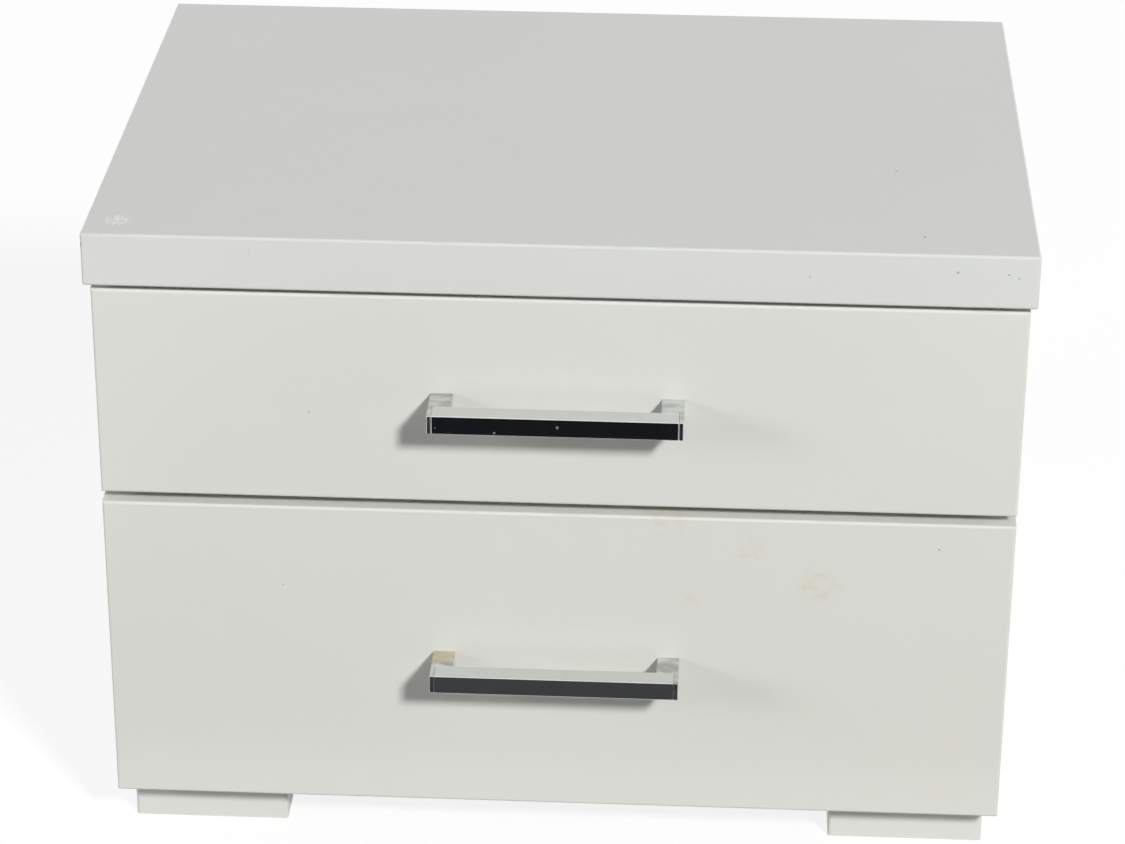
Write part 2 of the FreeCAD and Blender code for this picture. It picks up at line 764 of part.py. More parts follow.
def drawer(name, front_z, front_height, box_z, fittings):
    """A drawer: front, box of two sides, back and bottom, with its handle, runners and fittings."""
    side_height = f"({front_z} + {front_height} - box_side_below_front - {box_z})"
    middle_z = f"{box_z} + {side_height} / 2"
    cam_z = f"{middle_z} + box_fitting_spacing / 2"
    dowel_z = f"{middle_z} - box_fitting_spacing / 2"
    side_x = "box_side_thickness / 2 - box_half_width"
    front_dowels = [((side_x, "box_front_y", dowel_z), "back")]
    back_dowels = [
        (("-box_inner_half", "box_rear_y - box_side_thickness / 2", z), "right")
        for z in (cam_z, dowel_z)
    ]
    bolts = [((side_x, "box_front_y", cam_z), "back")]
    cams = [(("-box_inner_half", "box_front_y + box_bolt_reach", cam_z), "front", "right")]

    def group(kind, stations_of_patterns):
        label = f"{name}_drawer_{kind}"
        sets = [
            on_both_sides(f"{label}_{number}", fittings[pattern], stations)
            for number, (pattern, stations) in enumerate(stations_of_patterns, start=1)
        ]
        return together(label, sets)

    dowels = [("front_dowel", front_dowels), ("back_dowel", back_dowels)]
    keep(f"{name}_drawer_dowels", group("dowels", dowels))
    keep(f"{name}_drawer_cam_bolts", group("cam_bolts", [("bolt", bolts)]))
    keep(f"{name}_drawer_cam_discs", group("cam_discs", [("cam", cams)]))
    joints = group("joint_holes", [
        ("front_dowel_hole", front_dowels),
        ("back_dowel_hole", back_dowels),
        ("bolt_hole", bolts),
        ("cam_hole", cams),
    ])

    handle_z = f"{front_z} + {front_height} / 2 - handle_below_middle"
    handle_screws = [(("-handle_spacing / 2", "box_front_y", handle_z), "front")]
    screws_name = f"{name}_handle_screws"
    keep(screws_name, on_both_sides(screws_name, fittings["handle_screw"], handle_screws))
    hole_name = f"{name}_handle_holes"
    handle_holes = on_both_sides(hole_name, fittings["handle_screw_hole"], handle_screws)
    handle(name, handle_z, handle_holes)

    groove_size = (
        "2 * (box_inner_half + box_groove_depth)",
        "box_back_y - box_front_y + 2 * box_groove_depth",
        "box_bottom_thickness + groove_play",
    )
    groove_point = (
        "-(box_inner_half + box_groove_depth)",
        "box_front_y - box_groove_depth",
        f"{box_z} + box_bottom_rise - groove_play / 2",
    )
    groove = block(f"{name}_bottom_groove", groove_size, groove_point)

    front_point = ("-case_width / 2", "face_y", front_z)
    front_size = ("case_width", front_height, "front_thickness")
    front = board(f"{name}_front_board", "XZ", *front_size, front_point)
    rounded(front, "front_edge_radius", lambda box: box.YMax < IN_PLANE)
    front_name = f"{name}_drawer_front"
    keep(front_name, without(front_name, front, [joints, handle_holes, groove]))

    runner_patterns = [fittings[kind] for kind in ("screw", "screw_hole", "rivet", "rivet_hole")]
    runner_holes = drawer_runner(name, box_z, *runner_patterns)
    side_point = ("-box_half_width", "box_front_y", box_z)
    side_sizes = ("box_length", side_height, "box_side_thickness")
    side = board(f"{name}_side_board", "YZ", *side_sizes, side_point)
    left_name = f"{name}_drawer_side_left"
    left = without(left_name, side, [joints, groove, runner_holes])
    keep(left_name, left)
    right_name = f"{name}_drawer_side_right"
    keep(right_name, mirrored(right_name, left))

    back_point = ("-box_inner_half", "box_back_y", box_z)
    back_sizes = ("2 * box_inner_half", side_height, "box_side_thickness")
    back = board(f"{name}_back_board", "XZ", *back_sizes, back_point)
    back_name = f"{name}_drawer_back"
    keep(back_name, without(back_name, back, [joints, groove]))

    bottom_name = f"{name}_drawer_bottom"
    bottom_width = "2 * (box_inner_half + box_bottom_reach)"
    bottom_length = "box_back_y - box_front_y + 2 * box_bottom_reach"
    bottom_point = (
        "-(box_inner_half + box_bottom_reach)",
        "box_front_y - box_bottom_reach",
        f"{box_z} + box_bottom_rise",
    )
    bottom_sizes = (bottom_width, bottom_length, "box_bottom_thickness")
    keep(bottom_name, board(bottom_name, "XY", *bottom_sizes, bottom_point))


def drawer_fittings():
    """The pattern pieces and hole cutters that both drawers use."""
    front_seat = "(front_thickness - dowel_wall)"
    back_seat = "(box_side_thickness - dowel_wall)"
    thread = "(front_thickness - bolt_wall)"
    screw_length = "(runner_gauge + box_side_thickness - screw_wall)"
    screw = ("runner_screw_radius", "runner_screw_head_radius", screw_length)
    handle_length = "front_thickness + handle_screw_grip"
    handle_blank = pan_screw("handle_screw_blank", handle_length)
    return {
        "front_dowel": dowel("front_dowel", "box_dowel_radius", front_seat),
        "front_dowel_hole": dowel("front_dowel_hole", "box_dowel_radius", front_seat, "fastener_play"),
        "back_dowel": dowel("back_dowel", "box_dowel_radius", back_seat),
        "back_dowel_hole": dowel("back_dowel_hole", "box_dowel_radius", back_seat, "fastener_play"),
        "bolt": cam_bolt("box_bolt", thread, "box_bolt_reach"),
        "bolt_hole": cam_bolt_hole("box_bolt_hole", thread, "box_bolt_reach"),
        "cam": cam_disc("box_cam", "box_cam_radius", "box_side_thickness"),
        "cam_hole": cam_bore("box_cam_bore", "box_cam_radius", "box_side_thickness"),
        "screw": with_cross("box_screw", countersunk_screw("box_screw_blank", *screw), "0"),
        "screw_hole": countersunk_screw("box_screw_hole", *screw, "fastener_play"),
        "handle_screw": with_cross("handle_screw", handle_blank, "-handle_screw_head_height"),
        "handle_screw_hole": plain_hole("handle_screw_hole", "handle_screw_radius", handle_length),
        "rivet": rivet("rivet"),
        "rivet_hole": plain_hole("rivet_hole", "rivet_radius", "roller_start"),
    }


def check_and_write():
    """Stop if any object failed or any sub-part is not a valid solid, then write every sub-part."""
    doc.recompute()
    for item in doc.Objects:
        if {"Invalid", "Error"} & set(item.State):
            raise RuntimeError(f"{item.Name} failed: {item.State}")
    for item in sub_parts:
        if item.Shape.isNull() or not item.Shape.isValid() or not item.Shape.Solids:
            raise RuntimeError(f"{item.Label} has no valid solid")
    os.makedirs("parts", exist_ok=True)
    for item in sub_parts:
        item.Shape.exportStep(f"parts/{item.Label}.step")
        volume = item.Shape.Volume / 1000
        print(f"{item.Label}: {len(item.Shape.Solids)} solids, {volume:.2f} cm3")
    print(f"{len(sub_parts)} sub-parts")


fill_sheet()
fittings = drawer_fittings()
cabinet_screw_length = "(runner_gauge + panel_thickness - screw_wall)"
cabinet_screw = ("runner_screw_radius", "runner_screw_head_radius", cabinet_screw_length)
cabinet_screw_holes = cabinet_runners(
    with_cross("case_screw", countersunk_screw("case_screw_blank", *cabinet_screw), "0"),
    countersunk_screw("case_screw_hole", *cabinet_screw, "fastener_play"),
    fittings["rivet"],
    fittings["rivet_hole"],
)
case(cabinet_screw_holes)
drawer("upper", "upper_front_z", "upper_front_height", "upper_box_z", fittings)
drawer("lower", "lower_front_z", "lower_front_height", "lower_box_z", fittings)
check_and_write()
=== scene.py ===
"""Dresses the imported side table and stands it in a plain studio. Lengths are in metres."""

import math

import bpy
from mathutils import Matrix, Vector


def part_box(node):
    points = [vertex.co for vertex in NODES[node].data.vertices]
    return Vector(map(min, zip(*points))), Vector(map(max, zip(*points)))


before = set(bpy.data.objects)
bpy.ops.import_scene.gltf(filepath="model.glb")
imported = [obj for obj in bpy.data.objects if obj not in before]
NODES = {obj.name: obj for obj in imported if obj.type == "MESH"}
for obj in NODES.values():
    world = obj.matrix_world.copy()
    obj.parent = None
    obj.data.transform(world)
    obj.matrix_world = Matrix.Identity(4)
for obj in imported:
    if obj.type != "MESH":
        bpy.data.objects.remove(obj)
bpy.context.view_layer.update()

bl_info = {
    "name": "Side table dressing",
    "version": (1, 0, 0),
    "blender": (4, 5, 0),
    "location": "3D View > Sidebar > Side table",
    "description": "Gives the packed side table its finishes and a plain studio",
    "category": "Object",
}

MM = 0.001

# Sockets of the Mix node when it mixes colours
SHARE, FIRST, SECOND, MIXED = 0, 6, 7, 2

# Lacquer, paper foil and paint refract about alike
BOARD_IOR = 1.5

DRAWERS = ("upper", "lower")
SIDES = ("left", "right")
ROWS = ("front", "rear")

# How much of the finish under it each mark, and the painted reflection, hides, from 0 to 1
STAIN, WEAR, KNOCK, TRACK, PAINTED_REFLECTION = 0.42, 0.35, 0.65, 0.3, 0.7

# The photograph's small marks: place in the CAD frame and radius, in millimetres
TOP_SPECKS = [
    ((185.4, -54.7, 384.0), 1.1),
    ((198.2, -148.5, 384.0), 1.3),
    ((215.5, -172.5, 373.7), 0.9),
    ((242.9, -172.5, 373.3), 0.7),
    ((248.3, -172.5, 371.1), 0.6),
    ((136.2, -172.5, 369.2), 0.6),
    ((-168.1, -172.5, 376.7), 0.5),
    ((-260.0, -172.0, 377.2), 1.6),
]
TOP_SCUFF = ((-242.4, -152.8, 384.0), 9.5)
FRONT_SPECKS = {
    "upper": [((-137.9, -168.5, 278.0), 0.8)],
    "lower": [
        ((-155.5, -168.5, 168.2), 0.7),
        ((214.1, -168.5, 202.7), 0.8),
    ],
}
FRONT_STAINS = {
    "upper": [],
    "lower": [
        ((60.0, -163.0, 218.5), 17.0),
        ((75.6, -168.5, 166.2), 9.0),
        ((148.4, -168.5, 178.0), 17.0),
        ((108.5, -168.5, 200.6), 10.0),
    ],
}
BAR_SPECKS = {
    "upper": [
        ((-33.1, -197.5, 282.5), 0.8),
        ((1.3, -197.5, 286.6), 0.9),
        ((-65.4, -197.5, 284.6), 0.4),
    ],
    "lower": [],
}
# A painted beige reflection on the left leg of the lower handle
LEG_PAINTED_REFLECTIONS = {"upper": [], "lower": [((-66.0, -170.0, 129.0), 15.0)]}

# The floor lies a hair below the feet, so that no two faces share a plane. To the
# camera it glows a little near the object and is white far from the lamps
FLOOR_REACH, FLOOR_HEIGHT = 12.0, -0.1 * MM
NEAR_GLOW, FAR_GLOW = 0.85, 1.0
GLOW_RISES_FROM, GLOW_FULL_AT = 1.7, 3.4

# The dark card in front of the table: left, right, near and far edge, and its height
CARD_EDGES, CARD_HEIGHT = (-0.32, 0.32, -1.2, -0.26), 1 * MM
CARD_DARK_UP_TO, CARD_PALE_FROM = -0.75, -0.45

# Lamps: name, place, power in watts and colour, all turned to the middle of the table
MIDDLE = (0.0, 0.0, 0.19)
KEY_LAMP = ("key_lamp", (3.94, -6.35, 5.2), 725.0, "#FFFEFB")
FILL_LAMPS = (
    ("left_lamp", (-5.6, -2.6, 1.9), 105.0, "#FFFFFF"),
    ("rear_lamp_left", (-3.6, 3.6, 0.8), 108.0, "#FFFFFF"),
    ("rear_lamp_right", (3.6, 3.6, 0.8), 108.0, "#FFFFFF"),
)
WORLD_LIGHT = 0.14

# The camera that was fitted to the photograph's edges, with its angles in radians
CAMERA_PLACE = (0.090996, -1.99036, 1.1716)
CAMERA_YAW, CAMERA_PITCH, CAMERA_ROLL = -0.04834, 0.4564, 0.00588
SENSOR_WIDTH = 36.0
NEAREST_SEEN, FURTHEST_SEEN = 0.05, 60.0


def linear(code):
    """An sRGB hex colour as linear red, green, blue and alpha."""
    parts = [int(code[i:i + 2], 16) / 255 for i in (1, 3, 5)]
    return [
        c / 12.92 if c <= 0.04045 else ((c + 0.055) / 1.055) ** 2.4 for c in parts
    ] + [1.0]


def add(tree, kind, inputs=None, out=0, **settings):
    """Adds one node with its settings, values and links, and gives the output asked for."""
    made = tree.nodes.new("ShaderNode" + kind)
    for setting, value in settings.items():
        setattr(made, setting, value)
    for socket, value in (inputs or {}).items():
        if isinstance(value, bpy.types.NodeSocket):
            tree.links.new(value, made.inputs[socket])
        else:
            made.inputs[socket].default_value = value
    return made.outputs[out] if made.outputs else None


def begin(name):
    """An empty material, its node tree and its object coordinates."""
    material = bpy.data.materials.new(name)
    material.use_nodes = True
    tree = material.node_tree
    tree.nodes.clear()
    return material, tree, add(tree, "TexCoord", out="Object")


def shaded(colour, *factors):
    """A colour with its red, green and blue multiplied by those factors."""
    return [part * k for part, k in zip(colour, factors)] + [1.0]


def cloudy(tree, place, spacing, low, high, detail=2.0):
    """A soft pattern of that spacing, spread from 0 at low to 1 at high."""
    noise = add(tree, "TexNoise", {"Vector": place, "Scale": 1 / spacing, "Detail": detail})
    return add(
        tree,
        "MapRange",
        {"Value": noise, "From Min": low, "From Max": high},
        interpolation_type="SMOOTHSTEP",
    )


def spots(tree, place, marks, ragged):
    """1 inside any of the marks and 0 outside, with an outline as ragged as asked."""
    wobble = add(
        tree,
        "TexNoise",
        {"Vector": place, "Scale": 1 / (ragged * 2), "Detail": 3.0},
        out="Color",
    )
    wobble = add(
        tree, "VectorMath", {0: wobble, 1: (0.5, 0.5, 0.5)}, operation="SUBTRACT"
    )
    wobble = add(tree, "VectorMath", {0: wobble, "Scale": ragged * 2}, operation="SCALE")
    shaken = add(tree, "VectorMath", {0: place, 1: wobble}, operation="ADD")
    found = 0.0
    for point, radius in marks:
        away = add(
            tree,
            "VectorMath",
            {0: shaken, 1: Vector(point) * MM},
            out="Value",
            operation="DISTANCE",
        )
        inside = add(
            tree,
            "MapRange",
            {"Value": away, "From Min": radius * MM, "From Max": radius * MM * 0.4},
            interpolation_type="SMOOTHSTEP",
        )
        found = add(tree, "Math", {0: found, 1: inside}, operation="MAXIMUM")
    return found


def curls(tree, place, spacing):
    """1 along thin curly lines about that far apart, and 0 between them."""
    noise = add(tree, "TexNoise", {"Vector": place, "Scale": 1 / spacing, "Detail": 1.0})
    from_middle = add(tree, "Math", {0: noise, 1: 0.5}, operation="SUBTRACT")
    from_middle = add(tree, "Math", {0: from_middle}, operation="ABSOLUTE")
    return add(
        tree,
        "MapRange",
        {"Value": from_middle, "From Min": 0.085, "From Max": 0.03},
        interpolation_type="SMOOTHSTEP",
    )


def edge_nearness(tree, place, node, reach):
    """1 on the arrises of a board and 0 further than reach away from them."""
    low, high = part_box(node)
    middle, half = (low + high) / 2, (high - low) / 2
    moved = add(tree, "VectorMath", {0: place, 1: middle}, operation="SUBTRACT")
    out = add(tree, "VectorMath", {0: moved}, operation="ABSOLUTE")
    depth = add(tree, "VectorMath", {0: half, 1: out}, operation="SUBTRACT")
    x, y, z = add(tree, "SeparateXYZ", {0: depth}).node.outputs
    least = add(tree, "Math", {0: x, 1: y}, operation="MINIMUM")
    most = add(tree, "Math", {0: x, 1: y}, operation="MAXIMUM")
    second = add(tree, "Math", {0: most, 1: z}, operation="MINIMUM")
    arris = add(tree, "Math", {0: least, 1: second}, operation="MAXIMUM")
    return add(
        tree,
        "MapRange",
        {"Value": arris, "From Min": reach, "From Max": 0.0},
        interpolation_type="SMOOTHSTEP",
    )


def dress(names, material):
    """Gives the CAD nodes their finish."""
    for name in names:
        for slot in NODES[name].material_slots:
            slot.material = material


def satin_lacquer(name, colour, node, specks, scuffs, stains):
    """Polyurethane lacquer sprayed on board: an even satin gloss with faint orange peel.
    It shows soft reflections, a bright line on each rounded arris and small knocks."""
    sizes = bpy.context.scene.side_table_sizes
    material, tree, place = begin(name)

    # Light has aged it in wide clouds, a hair darker and yellower than the rest
    aged = shaded(colour, 0.99, 0.985, 0.968)
    clouds = cloudy(tree, place, 160 * MM, 0.2, 0.8)
    paint = add(
        tree,
        "Mix",
        {SHARE: clouds, FIRST: tuple(colour), SECOND: aged},
        out=MIXED,
        data_type="RGBA",
    )
    if stains:
        # Dried splashes are broken up every 6 mm or so
        broken = cloudy(tree, place, 6 * MM, 0.4, 0.75, 4.0)
        where = spots(tree, place, stains, 4 * MM)
        where = add(tree, "Math", {0: where, 1: broken}, operation="MULTIPLY")
        where = add(tree, "Math", {0: where, 1: STAIN}, operation="MULTIPLY")
        paint = add(
            tree,
            "Mix",
            {SHARE: where, FIRST: paint, SECOND: linear("#D2C6A8")},
            out=MIXED,
            data_type="RGBA",
        )

    # Rubbed arrises show a little of the duller primer, in places 20 mm apart
    worn = edge_nearness(tree, place, node, 1.6 * MM)
    patchy = cloudy(tree, place, 20 * MM, 0.52, 0.7, 3.0)
    worn = add(tree, "Math", {0: worn, 1: patchy}, operation="MULTIPLY")
    worn = add(tree, "Math", {0: worn, 1: WEAR}, operation="MULTIPLY")
    paint = add(
        tree,
        "Mix",
        {SHARE: worn, FIRST: paint, SECOND: linear("#BDBCB2")},
        out=MIXED,
        data_type="RGBA",
    )

    # Hands and cloths leave smudges the width of a few fingers. Their roughness stays
    # under 0.27, where the render's noise filter would draw a contour
    smudged = cloudy(tree, place, 60 * MM, 0.2, 0.85, 3.0)
    gloss = add(tree, "MapRange", {"Value": smudged, "To Min": 0.22, "To Max": 0.262})
    peel = add(
        tree,
        "TexNoise",
        {"Vector": place, "Scale": 1 / sizes.orange_peel, "Detail": 1.5},
    )
    normal = add(tree, "Bump", {"Height": peel, "Distance": sizes.orange_peel_depth})
    if scuffs:
        # Rubbing left pale curls about 4 mm apart, quite dull
        rubbed = spots(tree, place, scuffs, 4 * MM)
        lines = curls(tree, place, 4 * MM)
        where = add(tree, "Math", {0: rubbed, 1: lines}, operation="MULTIPLY")
        paint = add(
            tree,
            "Mix",
            {SHARE: where, FIRST: paint, SECOND: linear("#FBFCFB")},
            out=MIXED,
            data_type="RGBA",
        )
        gloss = add(tree, "Math", {0: gloss, 1: where}, operation="ADD")
    if specks:
        knocked = spots(tree, place, specks, 0.6 * MM)
        dark = add(tree, "Math", {0: knocked, 1: KNOCK}, operation="MULTIPLY")
        paint = add(
            tree,
            "Mix",
            {SHARE: dark, FIRST: paint, SECOND: linear("#8B8A80")},
            out=MIXED,
            data_type="RGBA",
        )
        # Each knock is a dark dent of a quarter of a millimetre
        hollow = add(tree, "Math", {0: 1.0, 1: knocked}, operation="SUBTRACT")
        normal = add(
            tree,
            "Bump",
            {"Height": hollow, "Distance": 0.25 * MM, "Strength": 0.8, "Normal": normal},
        )
    shader = add(
        tree,
        "BsdfPrincipled",
        {"Base Color": paint, "Roughness": gloss, "Normal": normal, "IOR": BOARD_IOR},
    )
    add(tree, "OutputMaterial", {"Surface": shader})
    return material


def foil_board(name, colour, spacing, depth, dull):
    """Printed paper foil pressed on board: a fine pebble and a dull even sheen.
    It shows slight shade changes and no clear reflections."""
    material, tree, place = begin(name)
    clouds = cloudy(tree, place, 90 * MM, 0.25, 0.8)
    shade = shaded(colour, 0.985, 0.985, 0.98)
    paint = add(
        tree,
        "Mix",
        {SHARE: clouds, FIRST: tuple(colour), SECOND: shade},
        out=MIXED,
        data_type="RGBA",
    )
    pebble = add(tree, "TexVoronoi", {"Vector": place, "Scale": 1 / spacing})
    normal = add(tree, "Bump", {"Height": pebble, "Distance": depth})
    patches = cloudy(tree, place, 60 * MM, 0.3, 0.75)
    rough = add(
        tree,
        "MapRange",
        {"Value": patches, "To Min": dull - 0.02, "To Max": dull + 0.02},
    )
    shader = add(
        tree,
        "BsdfPrincipled",
        {"Base Color": paint, "Roughness": rough, "Normal": normal, "IOR": BOARD_IOR},
    )
    add(tree, "OutputMaterial", {"Surface": shader})
    return material


def painted_hardboard(colour):
    """Hardboard rolled with white paint: flat, slightly fibrous and dull.
    Its fibres are about 0.2 mm thick and are drawn as bundles 1.6 mm apart, to show."""
    material, tree, place = begin("painted_hardboard")
    fibres = add(tree, "Mapping", {"Vector": place, "Scale": (1.0, 1.0, 0.25)})
    threads = cloudy(tree, fibres, 1.6 * MM, 0.3, 0.75, 5.0)
    shade = shaded(colour, 0.93, 0.93, 0.92)
    paint = add(
        tree,
        "Mix",
        {SHARE: threads, FIRST: tuple(colour), SECOND: shade},
        out=MIXED,
        data_type="RGBA",
    )
    normal = add(tree, "Bump", {"Height": threads, "Distance": 0.06 * MM})
    rough = add(tree, "MapRange", {"Value": threads, "To Min": 0.5, "To Max": 0.62})
    shader = add(
        tree,
        "BsdfPrincipled",
        {"Base Color": paint, "Roughness": rough, "Normal": normal, "IOR": BOARD_IOR},
    )
    add(tree, "OutputMaterial", {"Surface": shader})
    return material


def polished_chrome(name, colour, specks, haze, painted_reflections):
    """Chromium plate on die-cast zinc, polished: a mirror with wiping marks.
    Its faces show what they face, and hairlines and patches of haze break that up."""
    sizes = bpy.context.scene.side_table_sizes
    material, tree, place = begin(name)

    # The marks run along the handle, and the haze follows the polishing, a little askew
    along = add(tree, "Mapping", {"Vector": place, "Scale": (0.06, 1.0, 1.0)})
    hairs = cloudy(tree, along, sizes.hairline, 0.56, 0.74, 4.0)
    across = add(
        tree,
        "Mapping",
        {"Vector": place, "Scale": (0.45, 1.0, 1.0), "Rotation": (0.0, 0.0, 0.35)},
    )
    hazy = cloudy(tree, across, 6 * MM, 0.5 - haze, 0.9 - haze, 2.5)
    dull = add(tree, "Math", {0: hairs, 1: hazy}, operation="MAXIMUM")
    rough = add(
        tree,
        "MapRange",
        {"Value": dull, "To Min": 0.045, "To Max": 0.14 + haze / 2},
    )
    tone = shaded(colour, *[1.0 - 2.0 * haze] * 3)
    metal = add(
        tree,
        "Mix",
        {SHARE: hazy, FIRST: tuple(colour), SECOND: tone},
        out=MIXED,
        data_type="RGBA",
    )
    # A cream patch painted on the chrome stands for a beige reflection
    if painted_reflections:
        reflection_patch = spots(tree, place, painted_reflections, 2 * MM)
        reflection_patch = add(tree, "Math", {0: reflection_patch, 1: PAINTED_REFLECTION}, operation="MULTIPLY")
        metal = add(
            tree,
            "Mix",
            {SHARE: reflection_patch, FIRST: metal, SECOND: linear("#DBCDAA")},
            out=MIXED,
            data_type="RGBA",
        )
    if specks:
        spotted = spots(tree, place, specks, 0.7 * MM)
        metal = add(
            tree,
            "Mix",
            {SHARE: spotted, FIRST: metal, SECOND: linear("#A8AAAC")},
            out=MIXED,
            data_type="RGBA",
        )
        rough = add(tree, "Math", {0: rough, 1: spotted}, operation="ADD")
    normal = add(tree, "Bump", {"Height": hairs, "Distance": 0.004 * MM})
    shader = add(
        tree,
        "BsdfPrincipled",
        {"Base Color": metal, "Metallic": 1.0, "Roughness": rough, "Normal": normal},
    )
    add(tree, "OutputMaterial", {"Surface": shader})
    return material


def epoxy_enamel(colour):
    """Epoxy powder baked on cold-rolled steel: half-gloss with a coarse orange peel,
    its waves 1.4 mm apart. Grey tracks show where the rollers run."""
    material, tree, place = begin("epoxy_enamelled_steel")
    clouds = cloudy(tree, place, 12 * MM, 0.3, 0.8, 3.0)
    shade = shaded(colour, 0.96, 0.96, 0.955)
    paint = add(
        tree,
        "Mix",
        {SHARE: clouds, FIRST: tuple(colour), SECOND: shade},
        out=MIXED,
        data_type="RGBA",
    )
    along = add(tree, "Mapping", {"Vector": place, "Scale": (1.0, 0.03, 1.0)})
    tracks = cloudy(tree, along, 1.1 * MM, 0.6, 0.8)
    faint = add(tree, "Math", {0: tracks, 1: TRACK}, operation="MULTIPLY")
    paint = add(
        tree,
        "Mix",
        {SHARE: faint, FIRST: paint, SECOND: linear("#9A9B99")},
        out=MIXED,
        data_type="RGBA",
    )
    peel = add(tree, "TexNoise", {"Vector": place, "Scale": 1 / (1.4 * MM), "Detail": 1.0})
    shader = add(
        tree,
        "BsdfPrincipled",
        {
            "Base Color": paint,
            "Roughness": add(
                tree, "MapRange", {"Value": tracks, "To Min": 0.31, "To Max": 0.45}
            ),
            "Normal": add(tree, "Bump", {"Height": peel, "Distance": 0.05 * MM}),
            "IOR": 1.55,
        },
    )
    add(tree, "OutputMaterial", {"Surface": shader})
    return material


def moulded_nylon(colour):
    """Injection-moulded nylon: waxy, slightly see-through, with fine flow marks.
    The real marks are under 0.1 mm and are drawn 0.6 mm apart, to show."""
    material, tree, place = begin("moulded_nylon")
    clouds = cloudy(tree, place, 4 * MM, 0.3, 0.8, 3.0)
    flow = cloudy(tree, place, 0.6 * MM, 0.3, 0.7)
    shade = shaded(colour, 0.94, 0.94, 0.93)
    paint = add(
        tree,
        "Mix",
        {SHARE: clouds, FIRST: tuple(colour), SECOND: shade},
        out=MIXED,
        data_type="RGBA",
    )
    shader = add(
        tree,
        "BsdfPrincipled",
        {
            "Base Color": paint,
            "Roughness": add(
                tree, "MapRange", {"Value": clouds, "To Min": 0.36, "To Max": 0.48}
            ),
            "Subsurface Weight": 0.15,
            "Subsurface Radius": (2 * MM, 2 * MM, 1.6 * MM),
            "Subsurface Scale": 1.0,
            "Normal": add(tree, "Bump", {"Height": flow, "Distance": 0.02 * MM}),
            "IOR": 1.53,
        },
    )
    add(tree, "OutputMaterial", {"Surface": shader})
    return material


def turned_beech(colour):
    """Turned beech, unfinished: pale pinkish wood with short dark flecks.
    The real flecks are about 0.5 mm thick and are drawn 1.2 mm apart, to show."""
    material, tree, place = begin("turned_beech")
    along = add(tree, "Mapping", {"Vector": place, "Scale": (0.2, 1.0, 1.0)})
    grain = cloudy(tree, along, 1.2 * MM, 0.35, 0.75, 4.0)
    dark = shaded(colour, 0.72, 0.66, 0.6)
    wood = add(
        tree,
        "Mix",
        {SHARE: grain, FIRST: tuple(colour), SECOND: dark},
        out=MIXED,
        data_type="RGBA",
    )
    shader = add(
        tree,
        "BsdfPrincipled",
        {
            "Base Color": wood,
            "Roughness": add(
                tree, "MapRange", {"Value": grain, "To Min": 0.55, "To Max": 0.7}
            ),
            "Normal": add(tree, "Bump", {"Height": grain, "Distance": 0.05 * MM}),
            "IOR": 1.53,
        },
    )
    add(tree, "OutputMaterial", {"Surface": shader})
    return material


def bare_zinc(name, colour, spacing, low, high):
    """Zinc, cast or plated on steel: grey metal with a fine grain and uneven sheen.
    The real grain is under 0.1 mm and is drawn several times as coarse, to show."""
    material, tree, place = begin(name)
    patchy = cloudy(tree, place, 4 * MM, 0.3, 0.75, 4.0)
    grain = cloudy(tree, place, spacing, 0.3, 0.7)
    tone = shaded(colour, 0.8, 0.82, 0.86)
    metal = add(
        tree,
        "Mix",
        {SHARE: patchy, FIRST: tuple(colour), SECOND: tone},
        out=MIXED,
        data_type="RGBA",
    )
    shader = add(
        tree,
        "BsdfPrincipled",
        {
            "Base Color": metal,
            "Metallic": 1.0,
            "Roughness": add(
                tree, "MapRange", {"Value": patchy, "To Min": low, "To Max": high}
            ),
            "Normal": add(tree, "Bump", {"Height": grain, "Distance": 0.015 * MM}),
        },
    )
    add(tree, "OutputMaterial", {"Surface": shader})
    return material


def colour_of(name, description, code):
    """A colour property with its default."""
    return bpy.props.FloatVectorProperty(
        name=name,
        description=description,
        subtype="COLOR",
        size=4,
        min=0.0,
        max=1.0,
        default=linear(code),
    )


def length_of(name, description, value):
    """A length property with its default, in metres."""
    return bpy.props.FloatProperty(
        name=name,
        description=description,
        default=value,
        min=0.0,
        precision=5,
        subtype="DISTANCE",
        unit="LENGTH",
    )


class SideTableColours(bpy.types.PropertyGroup):
    """Colours that a user would change"""

    # The top is the fronts' lacquer, drawn darker and bluer: painted shade and a painted
    # bluish sky reflection
    top: colour_of("Top", "Lacquer of the top", "#D9DBD9")
    fronts: colour_of("Fronts", "Lacquer of the drawer fronts", "#DCDDD9")
    case: colour_of("Case", "Foil of the sides and the bottom", "#E0E0DC")
    feet: colour_of("Feet", "Foil of the feet", "#DFE0DB")
    boxes: colour_of("Drawer boxes", "Foil of the drawer boxes", "#DEDEDA")
    hardboard: colour_of("Hardboard", "Paint of the back and drawer bottoms", "#D8D7D0")
    chrome: colour_of("Chrome", "Plate of the handles", "#E2E4E4")
    enamel: colour_of("Enamel", "Enamel of the runners", "#E4E4DF")
    nylon: colour_of("Nylon", "Rollers", "#E6E5DC")
    beech: colour_of("Beech", "Dowels", "#CFAE82")
    casting: colour_of("Zinc casting", "Cam discs", "#A6A7A8")
    plating: colour_of("Zinc plate", "Screws, bolts and rivets", "#B4B9BE")
    floor: colour_of("Floor", "Pale floor of the studio", "#A6A6A5")


